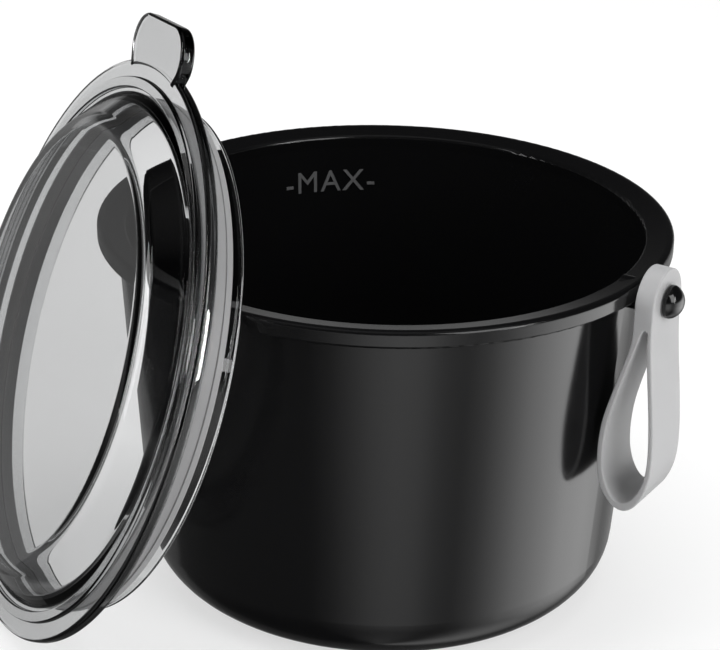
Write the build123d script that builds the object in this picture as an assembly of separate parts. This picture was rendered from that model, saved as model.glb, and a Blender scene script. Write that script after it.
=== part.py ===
from build123d import *
import math
import os

# Soaking case for aligners or a denture: a round cup with a flared rim, a clear lid that has been taken off
# and leans on the cup, the seal on the lid's skirt, and a soft carrying loop that hangs from a stud.
# Millimetres, +Z up, +X towards the stud, origin at the centre of the cup's foot.

# Cup
CUP_HEIGHT = 77.5
RIM_RADIUS = 57.5
RIM_OVERHANG = 4.0
RIM_BAND = 3.4
RIM_CREST = 1.4
RIM_DROP = 0.9
RIM_OUTER_ROUND = 0.8
RIM_INNER_ROUND = 0.7
RIM_UNDER_ROUND = 0.6
SIDE_TAPER = 4.0
CUP_WALL = 1.8
CUP_FLOOR = 2.2
FOOT_CORNER = 12.0
FOOT_RING_WIDTH = 4.0
FOOT_RECESS_DEPTH = 0.8

# Stud and the boss that carries it
STUD_DROP = 3.3
SHANK_RADIUS = 1.5
PRESS_DEPTH = 4.0
PRESS_GAP = 0.05
BOSS_WALL = 1.6
BOSS_PROUD = 0.3
HEAD_RADIUS = 3.3
HEAD_EDGE = 0.7
HEAD_DOME = 2.2

# Carrying loop, measured from the stud's axis
LOOP_WIDTH = 12.8
LOOP_BLOCK = 3.9
LOOP_LEG = 1.5
LOOP_LENGTH = 43.7
LOOP_BEND_HEIGHT = 9.7
LOOP_KNEE = 30.0
LOOP_LEAN = 16.7
LOOP_CROTCH = 4.9
LOOP_EDGE_ROUND = 0.4
LOOP_CORNER = 20.0
CROTCH_ROUND = 0.5

# Lid, measured in its own frame with Z = 0 on the flange's underside
FLANGE_LAP = 1.0
FLANGE_THICKNESS = 2.4
FLANGE_ROUND = 0.8
LID_WALL = 2.0
DOME_INSET = 6.7
DOME_RISE = 6.8
DOME_DRAFT = 45.0
DOME_ROUND = 5.3
DOME_FOOT_ROUND = 0.5
BEAD_INSET = 3.7
BEAD_WIDTH = 2.2
BEAD_HEIGHT = 0.8
BEAD_ROUND = 0.35
SKIRT_DEPTH = 9.0
SKIRT_WALL = 1.8
SKIRT_ROUND = 0.5
TAB_NECK = 22.6
TAB_HEAD = 36.8
TAB_REACH = 8.7
TAB_LAP = 1.2
TAB_CORNER = 6.2
TAB_BEND = 5.0
TAB_BEND_RADIUS = 4.0
TAB_THICKNESS = 2.9
TAB_ROUND = 0.7

# Seal ring in its groove on the skirt
SEAL_LEVEL = 5.2
SEAL_HEIGHT = 2.4
SEAL_ROUND = 0.7
GROOVE_DEPTH = 0.9
SEAL_SQUEEZE = 0.15
SEAL_SEAT_GAP = 0.05

# Clearances
SKIRT_GAP = 0.4
RUNNING_GAP = 0.4
LOOP_GAP = 0.3
LEAN_GAP = 0.35
FLOOR_GAP = 0.2

# Where the lid leans
LEAN_BEARING = 233.9
LEAN_TILT = 19.8
LEAN_SIDE = 5.5
TAB_TURN = 6.4
LEAN_STEPS = 720
HALVINGS = 20
TOP_RINGS = 4

band_foot = CUP_HEIGHT - RIM_BAND
body_top_radius = RIM_RADIUS - RIM_OVERHANG
side_slope = math.tan(math.radians(SIDE_TAPER))
stud_height = CUP_HEIGHT - STUD_DROP
boss_face = RIM_RADIUS + BOSS_PROUD
block_inner = boss_face + RUNNING_GAP
block_outer = block_inner + LOOP_BLOCK
flange_radius = RIM_RADIUS + FLANGE_LAP


def body_radius(z):
    """Outer radius of the cup's tapered side at a height; it stays the same within the rim."""
    return body_top_radius - side_slope * (band_foot - min(z, band_foot))


def bore_radius(z):
    """Inner radius of the cup's side at a height."""
    return body_radius(z) - CUP_WALL


loop_bulge = block_inner - body_radius(stud_height - LOOP_KNEE) - LOOP_GAP


def outline(points, rounds):
    """A flat face in XY through the points, with the corners listed in rounds rounded."""
    face = make_face(Polyline(*points, close=True))
    for place, radius in rounds:
        corner = face.vertices().sort_by_distance((*place, 0))[0]
        face = fillet(corner, radius)
    return face


def turned(points, rounds):
    """A solid turned about Z from a half profile of (radius, height) points."""
    return revolve(Plane.XZ * outline(points, rounds), Axis.Z)


def rod(radius, start, end):
    """A cylinder on the stud's axis between two distances from the cup's axis."""
    return extrude(Plane(origin=(start, 0, stud_height), z_dir=(1, 0, 0)) * Circle(radius), end - start)


def make_cup():
    """Bowl and flared rim in one moulding, with the boss for the stud and a blind hole in it."""
    foot_outer = (body_radius(0), 0)
    foot_inner = (bore_radius(CUP_FLOOR), CUP_FLOOR)
    rim_edge = (RIM_RADIUS, CUP_HEIGHT)
    mouth_edge = (bore_radius(CUP_HEIGHT), CUP_HEIGHT - RIM_DROP)
    under_rim = (body_radius(band_foot), band_foot)
    band_edge = (RIM_RADIUS, band_foot)
    recess_radius = body_radius(0) - FOOT_CORNER - FOOT_RING_WIDTH
    profile = [
        (0, FOOT_RECESS_DEPTH),
        (recess_radius, FOOT_RECESS_DEPTH),
        (recess_radius + FOOT_RECESS_DEPTH, 0),
        foot_outer,
        under_rim,
        band_edge,
        rim_edge,
        (RIM_RADIUS - RIM_CREST, CUP_HEIGHT),
        mouth_edge,
        (bore_radius(band_foot), band_foot),
        foot_inner,
        (0, CUP_FLOOR),
    ]
    rounds = [
        (foot_outer, FOOT_CORNER),
        (foot_inner, FOOT_CORNER - CUP_WALL),
        (rim_edge, RIM_OUTER_ROUND),
        (mouth_edge, RIM_INNER_ROUND),
        (under_rim, RIM_UNDER_ROUND),
        (band_edge, RIM_UNDER_ROUND),
    ]
    boss_radius = SHANK_RADIUS + BOSS_WALL
    boss_root = body_radius(stud_height - boss_radius) - CUP_WALL / 2
    boss = rod(boss_radius, boss_root, boss_face)
    hole = rod(SHANK_RADIUS + PRESS_GAP, boss_face - PRESS_DEPTH - PRESS_GAP, boss_face + BOSS_PROUD)
    return turned(profile, rounds) + boss - hole


def make_stud():
    """Pressed-in shank with a domed head that holds the loop on."""
    seat = block_outer + RUNNING_GAP - boss_face
    rim = seat + HEAD_EDGE
    dome_radius = (HEAD_RADIUS**2 + HEAD_DOME**2) / (2 * HEAD_DOME)
    sides = Polyline(
        (0, rim + HEAD_DOME), (0, -PRESS_DEPTH), (SHANK_RADIUS, -PRESS_DEPTH),
        (SHANK_RADIUS, seat), (HEAD_RADIUS, seat), (HEAD_RADIUS, rim),
    )
    dome = RadiusArc((HEAD_RADIUS, rim), (0, rim + HEAD_DOME), -dome_radius)
    spun = revolve(make_face(sides + dome), Axis.Y)
    # the profile's own axis, Y, is laid along +X at the height of the boss
    return Pos(boss_face, 0, stud_height) * Rot(0, 0, -90) * spun


def make_loop():
    """Moulded loop: a thick block round the stud and two thin legs joined by a round bend."""
    lean = math.tan(math.radians(LOOP_LEAN))
    bend_centre = (LOOP_BLOCK - loop_bulge) / 2
    bend_radius = (LOOP_BLOCK + loop_bulge) / 2
    bend_top = LOOP_BEND_HEIGHT - LOOP_LENGTH
    # the leaning leg is straight and just clears the rim when the loop is swung up
    clear = RIM_RADIUS + RUNNING_GAP
    touch = clear * math.sin(math.radians(LOOP_LEAN))
    leg_start = touch - (block_inner - math.sqrt(clear**2 - touch**2)) / lean
    leg_end = leg_start + loop_bulge / lean
    half = LOOP_WIDTH / 2

    def teardrop(top_points, corner_rounds, inset):
        radius_x = bend_radius - inset
        radius_y = LOOP_BEND_HEIGHT - inset
        left = (bend_centre - radius_x, bend_top)
        right = (bend_centre + radius_x, bend_top)
        bend = EllipticalCenterArc((bend_centre, bend_top), radius_x, radius_y, 180, arc_size=180)
        face = make_face(Polyline(left, *top_points, right) + bend)
        for place, radius in corner_rounds:
            corner = face.vertices().sort_by_distance((*place, 0))[0]
            face = fillet(corner, radius)
        return face

    knee = (-loop_bulge, -leg_end)
    hip = (0, -leg_start)
    outer = teardrop(
        [knee, hip, (0, half), (LOOP_BLOCK, half)],
        [(knee, LOOP_CORNER), (hip, LOOP_CORNER)],
        0,
    )
    inner_knee = (LOOP_LEG - loop_bulge, -leg_end)
    crotch = (LOOP_BLOCK - LOOP_LEG, -LOOP_CROTCH)
    inner = teardrop(
        [inner_knee, crotch],
        [(inner_knee, LOOP_CORNER), (crotch, CROTCH_ROUND)],
        LOOP_LEG,
    )
    far_side = Plane.XZ.offset(-half)
    body = extrude(far_side * outer, LOOP_WIDTH) - extrude(far_side * inner, LOOP_WIDTH)
    front = Circle(half) + Pos(0, -LOOP_LENGTH) * Rectangle(LOOP_WIDTH, 2 * LOOP_LENGTH)
    body = body & extrude(Plane.YZ * front, LOOP_LENGTH, both=True)
    body = fillet(side_edges(body, half), LOOP_EDGE_ROUND)
    hole = extrude(Plane.YZ * Circle(SHANK_RADIUS + RUNNING_GAP), LOOP_LENGTH, both=True)
    return Pos(block_inner, 0, stud_height) * (body - hole)


def side_edges(body, half):
    """Edges that run round the loop's two sides and over its round top, but not across its width."""
    found = ShapeList()
    for edge in body.edges():
        points = [edge @ part for part in (0, 0.25, 0.5, 0.75, 1)]
        on_side = all(abs(math.hypot(p.Y, max(p.Z, 0)) - half) < 0.001 for p in points)
        across = abs(points[0].Y - points[4].Y) < 0.001 and abs(points[0].Z - points[4].Z) < 0.001
        if on_side and not across:
            found.append(edge)
    return found


skirt_radius = bore_radius(CUP_HEIGHT - SKIRT_DEPTH) - SKIRT_GAP
skirt_inner = skirt_radius - SKIRT_WALL
seal_radius = bore_radius(CUP_HEIGHT - SEAL_LEVEL) + SEAL_SQUEEZE
groove_radius = skirt_radius - GROOVE_DEPTH
dome_slope = math.tan(math.radians(DOME_DRAFT))
dome_foot = flange_radius - DOME_INSET
dome_top = FLANGE_THICKNESS + DOME_RISE
inner_top = dome_top - LID_WALL
# the dome's sloping wall keeps the lid's wall thickness; its inside starts on the skirt's inner face
inner_slope_foot = dome_foot - LID_WALL / math.cos(math.radians(DOME_DRAFT))
inner_edge_radius = inner_slope_foot - dome_slope * (inner_top - FLANGE_THICKNESS)
inner_foot_height = FLANGE_THICKNESS + (inner_slope_foot - skirt_inner) / dome_slope


def make_lid():
    """Clear lid in its own frame: flange with a bead, raised dome, skirt with the seal's groove, thumb tab."""
    dome_edge = (dome_foot - dome_slope * DOME_RISE, dome_top)
    inner_edge = (inner_edge_radius, inner_top)
    groove_top = -SEAL_LEVEL + SEAL_HEIGHT / 2
    groove_foot = -SEAL_LEVEL - SEAL_HEIGHT / 2
    bead_outer = flange_radius - BEAD_INSET
    bead_inner = bead_outer - BEAD_WIDTH
    bead_top = FLANGE_THICKNESS + BEAD_HEIGHT
    profile = [
        (0, inner_top),
        inner_edge,
        (skirt_inner, inner_foot_height),
        (skirt_inner, -SKIRT_DEPTH),
        (skirt_radius, -SKIRT_DEPTH),
        (skirt_radius, groove_foot),
        (groove_radius, groove_foot),
        (groove_radius, groove_top),
        (skirt_radius, groove_top),
        (skirt_radius, 0),
        (flange_radius, 0),
        (flange_radius, FLANGE_THICKNESS),
        (bead_outer, FLANGE_THICKNESS),
        (bead_outer, bead_top),
        (bead_inner, bead_top),
        (bead_inner, FLANGE_THICKNESS),
        (dome_foot, FLANGE_THICKNESS),
        dome_edge,
        (0, dome_top),
    ]
    rounds = [
        (inner_edge, DOME_ROUND - LID_WALL),
        ((skirt_inner, -SKIRT_DEPTH), SKIRT_ROUND),
        ((skirt_radius, -SKIRT_DEPTH), SKIRT_ROUND),
        ((flange_radius, 0), FLANGE_ROUND),
        ((flange_radius, FLANGE_THICKNESS), FLANGE_ROUND),
        ((bead_outer, bead_top), BEAD_ROUND),
        ((bead_inner, bead_top), BEAD_ROUND),
        ((dome_foot, FLANGE_THICKNESS), DOME_FOOT_ROUND),
        (dome_edge, DOME_ROUND),
    ]
    return turned(profile, rounds) + make_tab()


def make_tab():
    """Thumb tab that runs out of the flange and bends up; its sides splay to a wide end with round corners."""
    splay = (TAB_HEAD - TAB_NECK) / 2
    tip = flange_radius + TAB_REACH
    root = math.sqrt((flange_radius - 2 * TAB_LAP)**2 - (TAB_NECK / 2)**2)
    side = math.hypot(tip - root, splay)
    half_corner = math.atan2(tip - root, splay) / 2
    corner = min(TAB_CORNER, side * math.tan(half_corner) * 9 / 10)
    near_corner = (tip, -TAB_HEAD / 2)
    far_corner = (tip, TAB_HEAD / 2)
    plan = outline(
        [(root, -TAB_NECK / 2), near_corner, far_corner, (root, TAB_NECK / 2)],
        [(near_corner, corner), (far_corner, corner)],
    )
    lap_radius = flange_radius - TAB_LAP
    under = TAB_BEND_RADIUS + TAB_THICKNESS

    def on_bend(radius, part):
        angle = math.radians(TAB_BEND) * part
        return (flange_radius + radius * math.sin(angle), under - radius * math.cos(angle))

    def past_bend(radius):
        x, z = on_bend(radius, 1)
        return (x + TAB_REACH, z + TAB_REACH * math.tan(math.radians(TAB_BEND)))

    low = ThreePointArc(on_bend(under, 0), on_bend(under, 0.5), on_bend(under, 1))
    high = ThreePointArc(on_bend(TAB_BEND_RADIUS, 1), on_bend(TAB_BEND_RADIUS, 0.5), on_bend(TAB_BEND_RADIUS, 0))
    end = Polyline(on_bend(under, 1), past_bend(under), past_bend(TAB_BEND_RADIUS), on_bend(TAB_BEND_RADIUS, 1))
    start = Polyline(on_bend(TAB_BEND_RADIUS, 0), (root, TAB_THICKNESS), (root, 0), on_bend(under, 0))
    strip = extrude(Plane.XZ.offset(-TAB_HEAD / 2) * make_face(low + end + high + start), TAB_HEAD)
    tab = strip & extrude(plan - Circle(lap_radius), flange_radius)
    rims = ShapeList()
    for edge in tab.edges():
        ends = [edge @ 0, edge @ 1]
        middle = edge @ 0.5
        upright = math.hypot(ends[0].X - ends[1].X, ends[0].Y - ends[1].Y) < 0.001
        across = abs(ends[0].X - ends[1].X) < 0.001 and middle.X < tip - TAB_ROUND
        outside = math.hypot(middle.X, middle.Y) > lap_radius + TAB_LAP / 2
        if outside and not upright and not across:
            rims.append(edge)
    return fillet(rims, TAB_ROUND)


def make_seal():
    """Soft ring in the lid's frame, seated in the groove and proud of the skirt."""
    inner = groove_radius + SEAL_SEAT_GAP
    top = -SEAL_LEVEL + SEAL_HEIGHT / 2 - SEAL_SEAT_GAP
    foot = -SEAL_LEVEL - SEAL_HEIGHT / 2 + SEAL_SEAT_GAP
    profile = [(inner, foot), (seal_radius, foot), (seal_radius, top), (inner, top)]
    rounds = [((seal_radius, foot), SEAL_ROUND), ((seal_radius, top), SEAL_ROUND)]
    return turned(profile, rounds)


def cup_distance(radius, z):
    """Distance from the outside of the cup to a point at a radius from its axis and a height."""
    beyond = max(radius - (RIM_RADIUS - RIM_OUTER_ROUND), 0)
    above = z - (CUP_HEIGHT - RIM_OUTER_ROUND)
    below = band_foot + RIM_OUTER_ROUND - z
    to_rim = math.hypot(beyond, max(above, below, 0)) - RIM_OUTER_ROUND
    if z > band_foot:
        return to_rim
    return min(to_rim, (radius - body_radius(z)) * math.cos(math.radians(SIDE_TAPER)))


def lid_place():
    """Plane that carries the lid's frame to where it leans on the cup, its axis pointing out and up."""
    bearing = math.radians(LEAN_BEARING)
    tilt = math.radians(LEAN_TILT)
    away = Vector(math.cos(bearing), math.sin(bearing), 0)
    side = Vector(math.sin(bearing), -math.cos(bearing), 0)
    axis = away * math.cos(tilt) + Vector(0, 0, 1) * math.sin(tilt)
    uphill = Vector(0, 0, 1) * math.cos(tilt) - away * math.sin(tilt)
    height = FLOOR_GAP + flange_radius * math.cos(tilt)
    seal_half = SEAL_HEIGHT / 2 - SEAL_ROUND
    # what of the lid can meet the cup: radius and level of each round edge's centre, and its rounding
    edges = [
        (skirt_radius - SKIRT_ROUND, SKIRT_ROUND - SKIRT_DEPTH, SKIRT_ROUND),
        (skirt_inner + SKIRT_ROUND, SKIRT_ROUND - SKIRT_DEPTH, SKIRT_ROUND),
        (seal_radius - SEAL_ROUND, -SEAL_LEVEL - seal_half, SEAL_ROUND),
        (seal_radius - SEAL_ROUND, -SEAL_LEVEL + seal_half, SEAL_ROUND),
        (skirt_radius, 0, 0),
        (flange_radius - FLANGE_ROUND, FLANGE_ROUND, FLANGE_ROUND),
        (skirt_inner, inner_foot_height, 0),
        ((skirt_inner + inner_edge_radius) / 2, (inner_foot_height + inner_top) / 2, 0),
    ]
    # the flat inside of the dome, as rings from its middle out
    edges += [(inner_edge_radius * part / TOP_RINGS, inner_top, 0) for part in range(TOP_RINGS + 1)]
    points = []
    for edge_radius, level, rounding in edges:
        for step in range(LEAN_STEPS):
            angle = math.tau * step / LEAN_STEPS
            across = edge_radius * math.sin(angle)
            up = edge_radius * math.cos(angle)
            along = level * math.cos(tilt) - up * math.sin(tilt)
            z = height + level * math.sin(tilt) + up * math.cos(tilt)
            points.append((LEAN_SIDE + across, along, z, rounding + LEAN_GAP))
    near = 0
    far = 2 * flange_radius
    for _ in range(HALVINGS):
        reach = (near + far) / 2
        if all(cup_distance(math.hypot(x, along + reach), z) > clear for x, along, z, clear in points):
            far = reach
        else:
            near = reach
    turn = math.radians(TAB_TURN)
    tab_way = uphill * math.cos(turn) + side * math.sin(turn)
    return Plane(origin=side * LEAN_SIDE + Vector(0, 0, height) + away * far, x_dir=tab_way, z_dir=axis)


lean = lid_place()
parts = {
    "cup": make_cup(),
    "loop_stud": make_stud(),
    "carry_loop": make_loop(),
    "lid": lean * make_lid(),
    "lid_seal": lean * make_seal(),
}
os.makedirs("parts", exist_ok=True)
for name, shape in parts.items():
    export_step(shape, f"parts/{name}.step")
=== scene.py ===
import bmesh
import bpy
import math
from mathutils import Matrix, Quaternion, Vector


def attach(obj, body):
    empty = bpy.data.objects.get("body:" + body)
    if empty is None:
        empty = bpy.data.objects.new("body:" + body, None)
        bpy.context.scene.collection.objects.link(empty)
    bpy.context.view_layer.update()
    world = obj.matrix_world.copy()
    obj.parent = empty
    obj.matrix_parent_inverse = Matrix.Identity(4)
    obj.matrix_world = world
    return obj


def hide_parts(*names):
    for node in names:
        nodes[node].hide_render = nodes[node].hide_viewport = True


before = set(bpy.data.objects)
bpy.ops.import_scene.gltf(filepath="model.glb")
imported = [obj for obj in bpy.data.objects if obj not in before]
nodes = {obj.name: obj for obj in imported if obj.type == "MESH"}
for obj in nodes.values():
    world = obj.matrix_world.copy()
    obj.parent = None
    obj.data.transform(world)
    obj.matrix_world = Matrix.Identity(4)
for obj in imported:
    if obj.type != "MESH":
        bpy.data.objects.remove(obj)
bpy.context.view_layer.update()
scene = bpy.context.scene

MM = 0.001
WHITE = (1, 1, 1, 1)
BLACK = (0, 0, 0, 1)


# Object and node helpers

def linked(name, data):
    """An object that shows the data, in the scene."""
    obj = bpy.data.objects.new(name, data)
    scene.collection.objects.link(obj)
    return obj


def dress(piece, mat):
    """Gives a piece one material in place of any that it has."""
    piece.data.materials.clear()
    piece.data.materials.append(mat)


def feed(tree, node, inputs):
    """Fills a node's inputs: each is a value, or a socket to link from."""
    for key, value in inputs.items():
        if isinstance(value, bpy.types.NodeSocket):
            tree.links.new(value, node.inputs[key])
        else:
            node.inputs[key].default_value = value


def add(tree, kind, inputs=None, **props):
    """A new node with its properties set and its inputs fed."""
    node = tree.nodes.new(kind)
    for key, value in props.items():
        setattr(node, key, value)
    feed(tree, node, inputs or {})
    return node


def new_material(name):
    """A material with an empty node tree and a Principled shader on its output."""
    mat = bpy.data.materials.new(name)
    mat.use_nodes = True
    tree = mat.node_tree
    tree.nodes.clear()
    out = tree.nodes.new("ShaderNodeOutputMaterial")
    shader = tree.nodes.new("ShaderNodeBsdfPrincipled")
    tree.links.new(shader.outputs["BSDF"], out.inputs["Surface"])
    return mat, tree, shader, out


def put(tree, shader, **inputs):
    """Feeds a shader's own sockets; underscores in the names stand for spaces."""
    feed(tree, shader, {key.replace("_", " "): value for key, value in inputs.items()})


def object_coords(tree):
    return add(tree, "ShaderNodeTexCoord").outputs["Object"]


def ramp(tree, source, stops):
    """A colour ramp of grey stops, each (position, value)."""
    node = add(tree, "ShaderNodeValToRGB", {"Fac": source})
    elements = node.color_ramp.elements
    while len(elements) < len(stops):
        elements.new(0.5)
    for element, (position, value) in zip(elements, stops):
        element.position = position
        element.color = (value, value, value, 1)
    return node.outputs["Color"]


def span(tree, source, low, high, start=0.0, end=1.0):
    """Maps a source, as it goes from start to end, to the range low to high."""
    node = add(tree, "ShaderNodeMapRange", {"Value": source, "From Min": start, "From Max": end,
                                            "To Min": low, "To Max": high})
    return node.outputs["Result"]


def noise(tree, coords, scale, detail):
    node = add(tree, "ShaderNodeTexNoise", {"Vector": coords, "Scale": scale, "Detail": detail})
    return node.outputs["Fac"]


def bump(tree, height, distance, strength):
    node = add(tree, "ShaderNodeBump", {"Height": height, "Distance": distance, "Strength": strength})
    return node.outputs["Normal"]


def maths(tree, operation, *values):
    return add(tree, "ShaderNodeMath", dict(enumerate(values)), operation=operation).outputs[0]


def colour_mix(tree, factor, one, two):
    """The colour between two: one at factor 0, two at factor 1."""
    node = add(tree, "ShaderNodeMix", {"Factor": factor, "A": one, "B": two}, data_type="RGBA")
    return node.outputs["Result"]


def shader_mix(tree, factor, one, two):
    """The shader between two: one at factor 0, two at factor 1."""
    return add(tree, "ShaderNodeMixShader", {0: factor, 1: one, 2: two}).outputs["Shader"]


# Materials

def gloss_black(name, colour, roughness, level):
    """Black injection-moulded plastic: polished, with a faint orange peel and faint uneven polish."""
    mat, tree, shader, _ = new_material(name)
    coords = object_coords(tree)
    peel = noise(tree, coords, scale=90.0, detail=2.0)
    polish = noise(tree, coords, scale=24.0, detail=3.0)
    deep = (colour, colour, colour * 1.05, 1)
    pale = (colour * 1.4, colour * 1.4, colour * 1.5, 1)
    put(tree, shader, IOR=1.5, Specular_IOR_Level=level, Base_Color=colour_mix(tree, polish, deep, pale),
        Roughness=span(tree, polish, roughness * 0.9, roughness * 1.15),
        Normal=bump(tree, peel, distance=0.00001, strength=0.15))
    return mat


def clear_plastic(name):
    """Clear moulded plastic: thick places and edges go dark, and light reaches what stands behind it."""
    mat, tree, shader, out = new_material(name)
    coords = object_coords(tree)
    polish = noise(tree, coords, scale=18.0, detail=2.0)
    waves = noise(tree, coords, scale=40.0, detail=1.0)
    put(tree, shader, Base_Color=(0.985, 0.988, 0.99, 1), IOR=1.49, Transmission_Weight=1.0,
        Roughness=span(tree, polish, 0.004, 0.012), Normal=bump(tree, waves, distance=0.00001, strength=0.1))
    path = add(tree, "ShaderNodeLightPath").outputs
    clear = add(tree, "ShaderNodeBsdfTransparent", {"Color": (0.93, 0.93, 0.93, 1)}).outputs["BSDF"]
    surface = shader_mix(tree, path["Is Shadow Ray"], shader.outputs["BSDF"], clear)
    smoke = add(tree, "ShaderNodeVolumeAbsorption", {"Color": (0.5, 0.505, 0.51, 1), "Density": 240.0})
    feed(tree, out, {"Surface": surface, "Volume": smoke.outputs["Volume"]})
    return mat


def silicone(name, colour, roughness):
    """Soft moulded silicone: satin, slightly see-into, with a fine tooth and a faint cloudiness."""
    mat, tree, shader, _ = new_material(name)
    coords = object_coords(tree)
    cloud = noise(tree, coords, scale=60.0, detail=3.0)
    tooth = noise(tree, coords, scale=1500.0, detail=2.0)
    deep = (*(part * 0.94 for part in colour), 1)
    put(tree, shader, IOR=1.41, Specular_IOR_Level=0.4, Sheen_Weight=0.15, Sheen_Roughness=0.5,
        Subsurface_Weight=0.25, Subsurface_Scale=0.002, Subsurface_Radius=(1.0, 0.95, 0.9),
        Base_Color=colour_mix(tree, cloud, deep, (*colour, 1)),
        Roughness=span(tree, cloud, roughness * 0.9, roughness * 1.1),
        Normal=bump(tree, tooth, distance=0.00002, strength=0.3))
    return mat


def mark_grey(name):
    """The fill mark's matt grey."""
    mat, tree, shader, _ = new_material(name)
    cloud = noise(tree, object_coords(tree), scale=300.0, detail=2.0)
    put(tree, shader, Specular_IOR_Level=0.3, Roughness=span(tree, cloud, 0.45, 0.6),
        Base_Color=colour_mix(tree, cloud, (0.075, 0.075, 0.077, 1), (0.095, 0.095, 0.097, 1)))
    return mat


# Cup and stud, which keep the CAD's shapes

dress(nodes["cup"], gloss_black("cup_black", colour=0.003, roughness=0.14, level=0.4))
dress(nodes["loop_stud"], gloss_black("stud_black", colour=0.003, roughness=0.1, level=0.5))


# Mesh helpers

TURN_STEPS = 384
ARC_STEPS = 8
SLICES = 40
SHARP_ANGLE = 28.0
# the straight stretch at each end of an arc, in mm, which keeps the shading of the flat beside it flat
SUPPORT = 0.12


def rounded(points, rounds, closed=False, steps=ARC_STEPS):
    """The 2-D points, with the corners in rounds, {index: radius}, as arcs that end in short straights."""
    path = []
    count = len(points)
    for index, point in enumerate(points):
        radius = rounds.get(index)
        if not radius or (not closed and index in (0, count - 1)):
            path.append(Vector(point))
            continue
        corner = Vector(point)
        one = (Vector(points[index - 1]) - corner).normalized()
        two = (Vector(points[(index + 1) % count]) - corner).normalized()
        half = one.angle(two) / 2
        reach = radius / math.tan(half)
        middle = corner + (one + two).normalized() * radius / math.sin(half)
        start = corner + one * reach - middle
        sweep = start.angle_signed(corner + two * reach - middle)
        path.append(corner + one * (reach + SUPPORT))
        for step in range(steps + 1):
            path.append(middle + Matrix.Rotation(-sweep * step / steps, 2) @ start)
        path.append(corner + two * (reach + SUPPORT))
    return path


def round_edge(radius):
    """Inset and rise of each point of a rounded edge, from the flat face beside it to the edge's side."""
    rows = [(radius + SUPPORT, 0)]
    for step in range(ARC_STEPS + 1):
        angle = math.pi / 2 * step / ARC_STEPS
        rows.append((radius * (1 - math.sin(angle)), radius * (1 - math.cos(angle))))
    return rows


def bridge(bm, low, high, closed=True):
    """Faces between two rows of points; a row of one point is a pole."""
    count = max(len(low), len(high))
    for step in range(count if closed else count - 1):
        after = (step + 1) % count
        corners = [low[step % len(low)], low[after % len(low)],
                   high[after % len(high)], high[step % len(high)]]
        bm.faces.new(list(dict.fromkeys(corners)))


def slice_across(bm, low, high, tolerance):
    """Cuts a mesh into slices across X, so that it can bend."""
    for step in range(1, SLICES):
        x = low + (high - low) * step / SLICES
        bmesh.ops.bisect_plane(bm, geom=bm.verts[:] + bm.edges[:] + bm.faces[:], plane_co=(x, 0, 0),
                               plane_no=(1, 0, 0), dist=tolerance)


def smooth(mesh):
    """Smooth shading, but for the sharp corners."""
    mesh.polygons.foreach_set("use_smooth", [True] * len(mesh.polygons))
    mesh.set_sharp_from_angle(angle=math.radians(SHARP_ANGLE))


def bm_object(name, bm):
    """An object from a bmesh, with its faces turned outward and smoothed."""
    bmesh.ops.recalc_face_normals(bm, faces=bm.faces)
    mesh = bpy.data.meshes.new(name)
    bm.to_mesh(mesh)
    bm.free()
    smooth(mesh)
    return linked(name, mesh)


def turned(name, profile, closed):
    """A piece turned about Z from (radius, height) points; an open profile starts and ends on the axis."""
    bm = bmesh.new()
    rings = []
    for radius, height in profile:
        if not radius:
            rings.append([bm.verts.new((0, 0, height * MM))])
            continue
        ring = []
        for step in range(TURN_STEPS):
            angle = math.tau * step / TURN_STEPS
            x = radius * MM * math.cos(angle)
            y = radius * MM * math.sin(angle)
            ring.append(bm.verts.new((x, y, height * MM)))
        rings.append(ring)
    for low, high in zip(rings, rings[1:]):
        bridge(bm, low, high)
    if closed:
        bridge(bm, rings[-1], rings[0])
    return bm_object(name, bm)


def joined(name, base, extra, operation="UNION"):
    """The union or difference of two closed pieces as one new object; the two are removed."""
    change = base.modifiers.new("joined", "BOOLEAN")
    change.operation = operation
    change.solver = "MANIFOLD"
    change.object = extra
    bpy.context.view_layer.update()
    mesh = bpy.data.meshes.new_from_object(base.evaluated_get(bpy.context.evaluated_depsgraph_get()))
    for obj in (base, extra):
        bpy.data.objects.remove(obj)
    mesh.name = name
    smooth(mesh)
    return linked(name, mesh)


# The fill mark inside the cup: raised lettering that follows the wall's curve, in metres

MARK_BEARING = 135.8
MARK_HEIGHT = 0.0663
LETTER_HEIGHT = 0.0048
LETTER_SHARE = 0.7
LETTER_SPACING = 1.12
LETTER_STEPS = 4
MARK_PROUD = 0.00022
MARK_SUNK = 0.0001
MARK_TOLERANCE = 1e-7
WALL_RADIUS_AT_BAND = 0.0517
WALL_BAND_HEIGHT = 0.0741
WALL_SLOPE = math.tan(math.radians(4.0))


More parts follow.
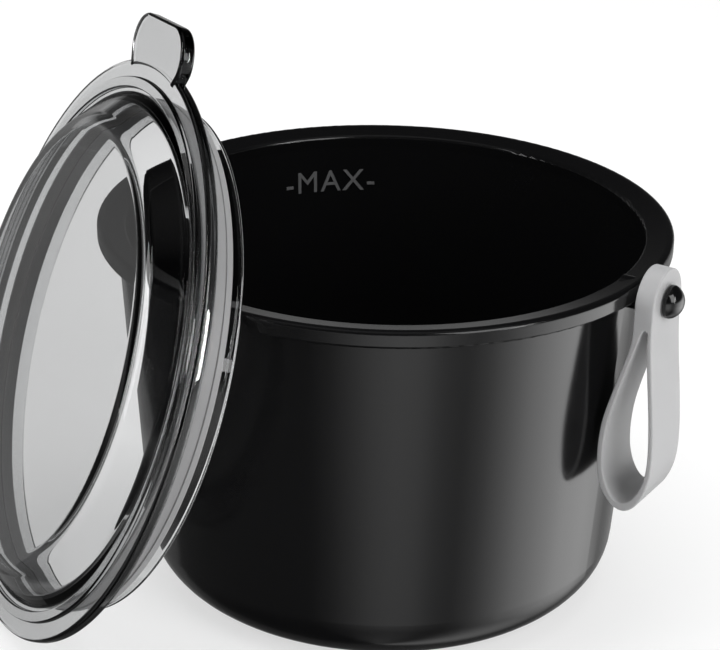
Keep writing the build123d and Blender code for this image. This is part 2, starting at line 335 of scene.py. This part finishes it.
def fill_mark(name):
    """The text as a mesh, laid on the inside of the cup's tapered wall."""
    half_depth = (MARK_PROUD + MARK_SUNK) / 2
    curve = bpy.data.curves.new("max_mark_text", "FONT")
    curve.body = "-MAX-"
    curve.align_x = "CENTER"
    curve.align_y = "CENTER"
    # a capital takes up this share of the font's size
    curve.size = LETTER_HEIGHT / LETTER_SHARE
    curve.space_character = LETTER_SPACING
    curve.extrude = half_depth
    curve.resolution_u = LETTER_STEPS
    text = linked("max_mark_text", curve)
    bpy.context.view_layer.update()
    mesh = bpy.data.meshes.new_from_object(text.evaluated_get(bpy.context.evaluated_depsgraph_get()))
    bpy.data.objects.remove(text)
    bm = bmesh.new()
    bm.from_mesh(mesh)
    bmesh.ops.remove_doubles(bm, verts=bm.verts, dist=MARK_TOLERANCE)
    # narrow slices, so that the letters can bend round the wall
    across = [v.co.x for v in bm.verts]
    slice_across(bm, min(across), max(across), MARK_TOLERANCE)
    for v in bm.verts:
        z = MARK_HEIGHT + v.co.y
        wall = WALL_RADIUS_AT_BAND - WALL_SLOPE * (WALL_BAND_HEIGHT - z)
        # read from inside the cup, so the text runs against the bearing
        bearing = math.radians(MARK_BEARING) - v.co.x / wall
        radius = wall - (v.co.z + half_depth - MARK_SUNK)
        v.co = Vector((radius * math.cos(bearing), radius * math.sin(bearing), z))
    bmesh.ops.recalc_face_normals(bm, faces=bm.faces)
    bm.to_mesh(mesh)
    bm.free()
    mesh.name = name
    return linked(name, mesh)


mark = fill_mark("max_mark")
dress(mark, mark_grey("mark_grey"))
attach(mark, "cup")


# Clear lid, in mm: a turned flange, dome and skirt with a bent thumb tab joined on, leaning as the CAD's does

# origin of the leaning lid's frame, the way to its tab and its axis
LEAN_ORIGIN = (-41.2513, -47.2349, 55.2415)
LEAN_TAB_WAY = (0.10827, 0.33767, 0.93502)
LEAN_AXIS = (-0.55436, -0.76022, 0.33874)
FLANGE_RADIUS = 58.49
FLANGE_THICKNESS = 2.4
FLANGE_ROUND = 0.8
BEAD_OUTER = 54.8
BEAD_INNER = 52.6
BEAD_TOP = 3.2
BEAD_ROUND = 0.35
BEAD_FOOT_ROUND = 0.15
DOME_FOOT = 51.8
DOME_EDGE = 45.0
DOME_FLAT = 38.0
DOME_TOP = 9.2
DOME_ROUND = 5.3
DOME_FOOT_ROUND = 0.5
INNER_TOP = 7.2
INNER_FLAT = 40.0
INNER_EDGE = 44.17
INNER_FOOT = 2.26
INNER_ROUND = 3.3
INNER_FOOT_ROUND = 1.5
SKIRT_RADIUS = 50.908
SKIRT_INNER = 49.108
SKIRT_DEPTH = 9.0
SKIRT_ROUND = 0.5
SKIRT_ROOT_ROUND = 0.4
GROOVE_RADIUS = 50.008
GROOVE_TOP = -4.0
GROOVE_FOOT = -6.4
TAB_ROOT = 54.95
TAB_ROOT_HALF = 11.3
TAB_TIP = 67.15
TAB_TIP_HALF = 18.35
TAB_CORNER = 6.2
TAB_CORNER_STEPS = 32
TAB_ROOT_RADIUS = 57.3
TAB_ROOT_STEPS = 32
TAB_THICKNESS = 2.9
TAB_ROUND = 0.7
TAB_BEND = 5.0
TAB_BEND_RADIUS = 4.0
TAB_FIRST_SLICE = 54.8
TAB_TOLERANCE = 1e-5
# keeps the tab's underside out of the flange's plane, for a clean union
TAB_LIFT = 0.012


def lid_frame():
    """Matrix that carries the lid's frame, its axis along Z and its tab along X, to where the lid leans."""
    axis = Vector(LEAN_AXIS).normalized()
    side = axis.cross(Vector(LEAN_TAB_WAY)).normalized()
    rows = Matrix((side.cross(axis), side, axis)).transposed().to_4x4()
    return Matrix.Translation(Vector(LEAN_ORIGIN) * MM) @ rows


def lid_profile():
    """The turned part's (radius, height) points, from the middle inside round the skirt to the dome's top."""
    return rounded(
        [(0, INNER_TOP), (INNER_FLAT, INNER_TOP), (INNER_EDGE, INNER_TOP), (SKIRT_INNER, INNER_FOOT),
         (SKIRT_INNER, -SKIRT_DEPTH), (SKIRT_RADIUS, -SKIRT_DEPTH), (SKIRT_RADIUS, GROOVE_FOOT),
         (GROOVE_RADIUS, GROOVE_FOOT), (GROOVE_RADIUS, GROOVE_TOP), (SKIRT_RADIUS, GROOVE_TOP),
         (SKIRT_RADIUS, 0), (FLANGE_RADIUS, 0), (FLANGE_RADIUS, FLANGE_THICKNESS),
         (BEAD_OUTER, FLANGE_THICKNESS), (BEAD_OUTER, BEAD_TOP), (BEAD_INNER, BEAD_TOP),
         (BEAD_INNER, FLANGE_THICKNESS),
         (DOME_FOOT, FLANGE_THICKNESS), (DOME_EDGE, DOME_TOP), (DOME_FLAT, DOME_TOP), (0, DOME_TOP)],
        {2: INNER_ROUND, 3: INNER_FOOT_ROUND, 4: SKIRT_ROUND, 5: SKIRT_ROUND, 10: SKIRT_ROOT_ROUND,
         11: FLANGE_ROUND, 12: FLANGE_ROUND, 13: BEAD_FOOT_ROUND, 14: BEAD_ROUND, 15: BEAD_ROUND,
         16: BEAD_FOOT_ROUND, 17: DOME_FOOT_ROUND, 18: DOME_ROUND})


def tab_plan():
    """The tab's outline from above: a splayed plate whose root follows a circle inside the flange's rim."""
    corners = [(TAB_ROOT, -TAB_ROOT_HALF), (TAB_TIP, -TAB_TIP_HALF),
               (TAB_TIP, TAB_TIP_HALF), (TAB_ROOT, TAB_ROOT_HALF)]
    plan = rounded(corners, {1: TAB_CORNER, 2: TAB_CORNER}, closed=True, steps=TAB_CORNER_STEPS)
    plan = [point for point in plan if point.length > TAB_ROOT_RADIUS]
    first = plan[0]
    splay = (TAB_TIP_HALF - TAB_ROOT_HALF) / (TAB_TIP - TAB_ROOT)
    reach = math.sqrt(TAB_ROOT_RADIUS**2 - first.y**2) - first.x
    cut = first + Vector((reach, -splay * reach))
    plan.insert(0, cut)
    plan.append(Vector((cut.x, -cut.y)))
    end = math.atan2(-cut.y, cut.x)
    for step in range(1, TAB_ROOT_STEPS):
        angle = end * (1 - 2 * step / TAB_ROOT_STEPS)
        plan.append(Vector((TAB_ROOT_RADIUS * math.cos(angle), TAB_ROOT_RADIUS * math.sin(angle))))
    return plan


def tab_height(x, radius):
    """Height at x of a face of the tab, which bends up at this radius round a line above the flange's rim."""
    bend = math.radians(TAB_BEND)
    reach = max(x - FLANGE_RADIUS, 0)
    arc = min(reach, radius * math.sin(bend))
    return TAB_BEND_RADIUS + TAB_THICKNESS - math.sqrt(radius**2 - arc**2) + (reach - arc) * math.tan(bend)


def bent_tab(name):
    """The thumb tab in the lid's frame: a plate with round corners and rims, bent up past the flange."""
    plan = tab_plan()
    inward = []
    for index, point in enumerate(plan):
        way = (plan[(index + 1) % len(plan)] - plan[index - 1]).normalized()
        inward.append(Vector((-way.y, way.x)))
    # inset and height of each ring, from the underside round the rim to the top
    levels = round_edge(TAB_ROUND)
    levels += [(inset, TAB_THICKNESS - height) for inset, height in reversed(levels)]
    bm = bmesh.new()
    rings = []
    for inset, height in levels:
        rings.append([bm.verts.new((*(point + way * inset), height)) for point, way in zip(plan, inward)])
    for low, high in zip(rings, rings[1:]):
        bridge(bm, low, high)
    bm.faces.new(rings[0])
    bm.faces.new(rings[-1])
    slice_across(bm, TAB_FIRST_SLICE, TAB_TIP, TAB_TOLERANCE)
    for v in bm.verts:
        under = tab_height(v.co.x, TAB_BEND_RADIUS + TAB_THICKNESS)
        over = tab_height(v.co.x, TAB_BEND_RADIUS)
        v.co.z = under + (over - under) * v.co.z / TAB_THICKNESS + TAB_LIFT
        v.co *= MM
    return bm_object(name, bm)


lid = joined("clear_lid", turned("lid_turned", lid_profile(), False), bent_tab("lid_tab"))
lid.data.transform(lid_frame())
dress(lid, clear_plastic("lid_clear"))
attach(lid, "lid")
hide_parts("lid")


# Seal, in mm: a soft ring with a foot in the skirt's groove, a collar above it and two rounded lips

SEAL_INNER = 50.06
SEAL_COLLAR = 50.96
SEAL_LIP = 51.7
SEAL_WAIST = 51.4
SEAL_TOP = -1.7
SEAL_SEAT = -4.06
SEAL_FOOT = -6.34
LIP_HEIGHT = 1.3
LIP_ROUND = 0.28
SEAL_FILLET = 0.14
SEAL_ARC_STEPS = 4

seal_profile = rounded(
    [(SEAL_INNER, SEAL_FOOT), (SEAL_LIP, SEAL_FOOT), (SEAL_LIP, SEAL_FOOT + LIP_HEIGHT),
     (SEAL_WAIST, SEAL_FOOT + LIP_HEIGHT), (SEAL_WAIST, SEAL_TOP - LIP_HEIGHT),
     (SEAL_LIP, SEAL_TOP - LIP_HEIGHT), (SEAL_LIP, SEAL_TOP), (SEAL_COLLAR, SEAL_TOP),
     (SEAL_COLLAR, SEAL_SEAT), (SEAL_INNER, SEAL_SEAT)],
    {1: LIP_ROUND, 2: SEAL_FILLET, 3: SEAL_FILLET, 4: SEAL_FILLET, 5: SEAL_FILLET,
     6: LIP_ROUND, 7: SEAL_FILLET},
    closed=True, steps=SEAL_ARC_STEPS)
seal = turned("seal", seal_profile, True)
seal.data.transform(lid_frame())
dress(seal, silicone("seal_silicone", colour=(0.27, 0.27, 0.273), roughness=0.35))
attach(seal, "lid")
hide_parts("lid_seal")


# Carrying loop, in mm: a round head on the stud, a thin front leg, a leaning back leg and a round-ended gap

HINGE_HEIGHT = 74.2
LOOP_HALF = 6.4
LOOP_ROUND = 0.3
LOOP_TOLERANCE = 1e-4
HEAD_BACK = 58.2
HEAD_FRONT = 62.1
HEAD_STEPS = 64
CURVE_STEPS = 12
HOLE_RADIUS = 1.9
HOLE_MIDDLE = 60.0
HOLE_LENGTH = 12.0
HOLE_STEPS = 64
# outlines in X and Z: one from the head's front down round the foot and up to its back, one round the gap
LOOP_OUTSIDE = [
    (HEAD_FRONT, HINGE_HEIGHT), (HEAD_FRONT, 72.0), (HEAD_FRONT, 70.0), (62.3, 66.0), (62.75, 61.0),
    (63.3, 56.0), (63.8, 51.0), (64.15, 46.0), (64.2, 42.0), (63.85, 38.5), (62.9, 35.2), (61.3, 32.3),
    (59.2, 30.75), (57.0, 30.95), (55.1, 32.5), (53.6, 34.9), (52.8, 38.0), (52.55, 41.5), (52.6, 44.5),
    (52.95, 48.0), (53.65, 51.3), (54.99, 56.0), (56.19, 60.0), (57.39, 64.0), (57.86, 66.0), (58.13, 68.0),
    (HEAD_BACK, 70.0), (HEAD_BACK, 72.0), (HEAD_BACK, HINGE_HEIGHT)]
LOOP_GAP = [
    (60.68, 69.75), (61.1, 69.5), (61.26, 68.8), (61.3, 66.2), (61.75, 61.0), (62.3, 56.0), (62.8, 51.0),
    (63.13, 46.0), (63.16, 42.0), (62.78, 38.8), (61.98, 36.2), (60.65, 33.9), (59.0, 32.55), (57.3, 32.5),
    (55.95, 33.6), (54.78, 35.7), (54.0, 38.5), (53.75, 41.5), (53.82, 44.5), (54.2, 48.0), (54.88, 51.3),
    (56.14, 56.0), (57.34, 60.0), (58.54, 64.0), (59.26, 66.4), (59.88, 68.5), (60.22, 69.4)]


def spline(points, closed):
    """A smooth curve through the points."""
    knots = [Vector(point) for point in points]
    count = len(knots)
    path = []
    for index in range(count if closed else count - 1):
        places = [index + step for step in (-1, 0, 1, 2)]
        a, b, c, d = [knots[at % count if closed else min(max(at, 0), count - 1)] for at in places]
        for step in range(CURVE_STEPS):
            t = step / CURVE_STEPS
            path.append(0.5 * (2 * b + (c - a) * t + (2 * a - 5 * b + 4 * c - d) * t**2
                               + (3 * b - a - 3 * c + d) * t**3))
    if not closed:
        path.append(knots[-1])
    return path


def rim_section():
    """Inset and Y of each row of a loop's wall, from one side face over its rounded rims to the other."""
    rows = [(inset, rise - LOOP_HALF) for inset, rise in round_edge(LOOP_ROUND)]
    rows.append((0, LOOP_ROUND + SUPPORT - LOOP_HALF))
    return rows + [(0, 0)] + [(inset, -y) for inset, y in reversed(rows)]


def loop_wall(bm, path, closed):
    """Adds the wall along an outline, with its rims, up to the side faces."""
    last = len(path) - 1
    section = rim_section()
    rows = [[] for _ in section]
    for index, point in enumerate(path):
        before = path[index - 1] if closed or index else point
        after = path[(index + 1) % len(path)] if closed or index < last else point
        way = (after - before).normalized()
        for row, (inset, y) in zip(rows, section):
            at = point + Vector((way.y, -way.x)) * inset
            row.append(bm.verts.new((at.x, y, at.y)))
    for low, high in zip(rows, rows[1:]):
        bridge(bm, low, high, closed)


def loop_head(bm):
    """Adds the upper half of the head, turned about the hinge's line."""
    half = [(inset, -y) for inset, y in rim_section() if y < 0]
    front = [(HEAD_FRONT - inset, radius) for inset, radius in half]
    back = [(HEAD_BACK + inset, radius) for inset, radius in half]
    profile = [(HEAD_BACK, 0)] + back[::-1] + front + [(HEAD_FRONT, 0)]
    rows = []
    for step in range(HEAD_STEPS + 1):
        angle = math.pi * step / HEAD_STEPS
        rows.append([bm.verts.new((x, -radius * math.cos(angle), HINGE_HEIGHT + radius * math.sin(angle)))
                     for x, radius in profile])
    for low, high in zip(rows, rows[1:]):
        bridge(bm, low, high, closed=False)


def loop_solid(name):
    """The whole loop, without the hole for the stud."""
    bm = bmesh.new()
    loop_wall(bm, spline(LOOP_OUTSIDE, False), False)
    # the gap runs the other way round, so that its rims round into the loop too
    loop_wall(bm, spline(LOOP_GAP, True)[::-1], True)
    loop_head(bm)
    bmesh.ops.remove_doubles(bm, verts=bm.verts, dist=LOOP_TOLERANCE)
    for side in (-LOOP_HALF, LOOP_HALF):
        rim = [edge for edge in bm.edges
               if edge.is_boundary and all(abs(v.co.y - side) < LOOP_TOLERANCE for v in edge.verts)]
        bmesh.ops.triangle_fill(bm, edges=rim, use_beauty=True)
    bm.transform(Matrix.Scale(MM, 4))
    return bm_object(name, bm)


def hinge_hole(name):
    """The round cutter of the hole that the stud's shank runs in."""
    middle = Matrix.Translation((HOLE_MIDDLE * MM, 0, HINGE_HEIGHT * MM))
    radius = HOLE_RADIUS * MM
    bm = bmesh.new()
    bmesh.ops.create_cone(bm, cap_ends=True, segments=HOLE_STEPS, radius1=radius, radius2=radius,
                          depth=HOLE_LENGTH * MM, matrix=middle @ Matrix.Rotation(math.pi / 2, 4, "Y"))
    return bm_object(name, bm)


loop = joined("loop", loop_solid("loop_solid"), hinge_hole("hinge_hole"), "DIFFERENCE")
dress(loop, silicone("loop_silicone", colour=(0.36, 0.36, 0.365), roughness=0.42))
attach(loop, "loop")
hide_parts("carry_loop")


# Floor

FLOOR_SIZE = 6.0
FLOOR_LEVEL = -0.0002
# share of plain white in the floor as the camera sees it; the rest of its look keeps the object's shadow
FLOOR_GLOW = 0.6
# brightness of a floor that is mirrored through the clear lid: as dim as its near part is in polished black
MIRRORED_FLOOR = 0.12


def floor_white(name):
    """Pale matt floor: whiter where it is seen straight or through the lid, and dim where it is mirrored."""
    mat, tree, shader, out = new_material(name)
    put(tree, shader, Base_Color=(0.93, 0.93, 0.93, 1), Roughness=0.7, Specular_IOR_Level=0.0)
    path = add(tree, "ShaderNodeLightPath").outputs
    glow = add(tree, "ShaderNodeEmission", {"Color": WHITE, "Strength": 1.0}).outputs["Emission"]
    pale = shader_mix(tree, FLOOR_GLOW, shader.outputs["BSDF"], glow)
    seen = maths(tree, "MAXIMUM", path["Is Camera Ray"], path["Is Transmission Ray"])
    surface = shader_mix(tree, seen, shader.outputs["BSDF"], pale)
    dim = add(tree, "ShaderNodeEmission", {"Color": WHITE, "Strength": MIRRORED_FLOOR}).outputs["Emission"]
    mirrored = maths(tree, "GREATER_THAN", path["Glossy Depth"], 0.5)
    through = maths(tree, "MULTIPLY", path["Is Transmission Ray"], mirrored)
    feed(tree, out, {"Surface": shader_mix(tree, through, surface, dim)})
    return mat


half = FLOOR_SIZE / 2
mesh = bpy.data.meshes.new("floor")
mesh.from_pydata([(-half, -half, FLOOR_LEVEL), (half, -half, FLOOR_LEVEL), (half, half, FLOOR_LEVEL),
                  (-half, half, FLOOR_LEVEL)], [], [(0, 1, 2, 3)])
floor = linked("floor", mesh)
floor.visible_glossy = False
dress(floor, floor_white("floor_white"))


# World: white for the camera, an even light, and a room that only clear and polished surfaces see

AMBIENT = 0.45
# brightness by height of the room that polished and clear surfaces see: pale at the horizon, grey overhead
ROOM_SHADES = [(0.02, 0.5), (0.12, 0.06), (0.5, 0.01), (0.8, 0.0), (0.95, 0.2)]
# brightness of the floor's far pools of light in polished black, by bearing: 0 and 1 face -X, 0.5 faces +X
FLOOR_POOLS = [(0.0, 0.1), (0.24, 0.1), (0.269, 0.3), (0.297, 0.72), (0.325, 1.2), (0.353, 1.45),
               (0.381, 1.32), (0.409, 0.74), (0.438, 0.5), (0.468, 0.95), (0.5, 1.95), (0.533, 3.1),
               (0.569, 3.7), (0.609, 3.9), (0.66, 2.7), (0.72, 0.4), (0.93, 0.3), (0.967, 0.3), (1.0, 0.3)]
# towards the cup's foot, between these heights of a ray's direction, the pools fade to this share
FOOT_START = -0.8
FOOT_END = -0.48
FOOT_SHARE = 0.25
# heights of a ray's direction between which the floor's pools give way to the room
HORIZON_START = -0.1
HORIZON_END = 0.05


def background(tree, colour, strength=1.0):
    node = add(tree, "ShaderNodeBackground", {"Color": colour, "Strength": strength})
    return node.outputs["Background"]


def studio_world(name):
    """The light from all round, and the room that glossy and transmission rays see in its place."""
    world = bpy.data.worlds.new(name)
    world.use_nodes = True
    tree = world.node_tree
    tree.nodes.clear()
    path = add(tree, "ShaderNodeLightPath").outputs
    direction = add(tree, "ShaderNodeTexCoord").outputs["Generated"]
    way = add(tree, "ShaderNodeSeparateXYZ", {"Vector": direction}).outputs
    room = ramp(tree, way["Z"], ROOM_SHADES)
    bearing = maths(tree, "ARCTAN2", way["Y"], way["X"])
    pools = ramp(tree, maths(tree, "MULTIPLY_ADD", bearing, 1 / math.tau, 0.5), FLOOR_POOLS)
    faded = colour_mix(tree, span(tree, way["Z"], FOOT_SHARE, 1.0, FOOT_START, FOOT_END), BLACK, pools)
    polished = colour_mix(tree, span(tree, way["Z"], 0.0, 1.0, HORIZON_START, HORIZON_END), faded, room)
    light = background(tree, WHITE, AMBIENT)
    light = shader_mix(tree, path["Is Transmission Ray"], light, background(tree, room))
    light = shader_mix(tree, path["Is Glossy Ray"], light, background(tree, polished))
    light = shader_mix(tree, path["Is Camera Ray"], light, background(tree, WHITE))
    add(tree, "ShaderNodeOutputWorld", {"Surface": light})
    return world


scene.world = studio_world("studio")


# Camera, at the photograph's angle: distance from the rim's centre, elevation, aim offsets and lens

CAMERA_TURN = 30.5
CAMERA_DISTANCE = 0.4734
CAMERA_HEIGHT_ANGLE = 21.26
CAMERA_YAW = 0.63
CAMERA_PITCH = -2.67
CAMERA_ROLL = 1.62
CAMERA_LENS_PX = 2336.53
FRAME_WIDTH_PX = 720
SENSOR = 36.0
CLIP_START = 0.01
CUP_TOP = 0.0775

turn = Matrix.Rotation(math.radians(CAMERA_TURN), 4, "Z")
rise = math.radians(CAMERA_HEIGHT_ANGLE)
away = Vector((0, -CAMERA_DISTANCE * math.cos(rise), CAMERA_DISTANCE * math.sin(rise)))
aim = turn @ Matrix.Rotation(math.radians(90) - rise, 4, "X")
for angle, axis in ((CAMERA_YAW, "Y"), (CAMERA_PITCH, "X"), (CAMERA_ROLL, "Z")):
    aim = aim @ Matrix.Rotation(math.radians(angle), 4, axis)
lens = bpy.data.cameras.new("photo_camera")
lens.sensor_width = SENSOR
lens.sensor_fit = "HORIZONTAL"
lens.lens = CAMERA_LENS_PX / FRAME_WIDTH_PX * SENSOR
lens.clip_start = CLIP_START
camera = linked("photo_camera", lens)
camera.matrix_world = Matrix.Translation(Vector((0, 0, CUP_TOP)) + turn @ away) @ aim
scene.camera = camera


# Lamps

# how far the strip stands beside its aim, along its own width
STRIP_SHIFT = -0.0185


def studio(x, y, z):
    """A point in the camera-aligned studio frame: x to the right, y away from the camera, z up."""
    return turn @ Vector((x, y, z))


def softbox(name, place, target, width, height, power, roll=0.0):
    """A rectangular lamp at place that faces target, rolled by so many degrees round that line."""
    light = bpy.data.lights.new(name, "AREA")
    light.shape = "RECTANGLE"
    light.size = width
    light.size_y = height
    light.energy = power
    lamp = linked(name, light)
    lamp.location = place
    facing = (target - place).to_track_quat("-Z", "Y")
    lamp.rotation_euler = (facing @ Quaternion((0, 0, 1), math.radians(roll))).to_euler()
    return lamp


middle = studio(0, 0, 0.04)
softbox("key", studio(0.6, -0.7, 0.6), middle, width=0.5, height=0.8, power=5)
top = softbox("top", studio(-0.1, 0.1, 1.1), middle, width=1.0, height=1.0, power=8)
top.visible_glossy = False
top.visible_transmission = False
# a narrow strip for the white line on the lid's right-hand rim
strip = softbox("strip", studio(0.62, -0.46, 0.29), studio(-0.03, -0.05, 0.06), width=0.013, height=0.5,
                power=0.65, roll=-31)
strip.location += strip.rotation_euler.to_matrix() @ Vector((STRIP_SHIFT, 0, 0))
softbox("left", studio(-0.9, -0.3, 0.5), middle, width=0.3, height=0.8, power=3)

scene.view_settings.view_transform = "Standard"
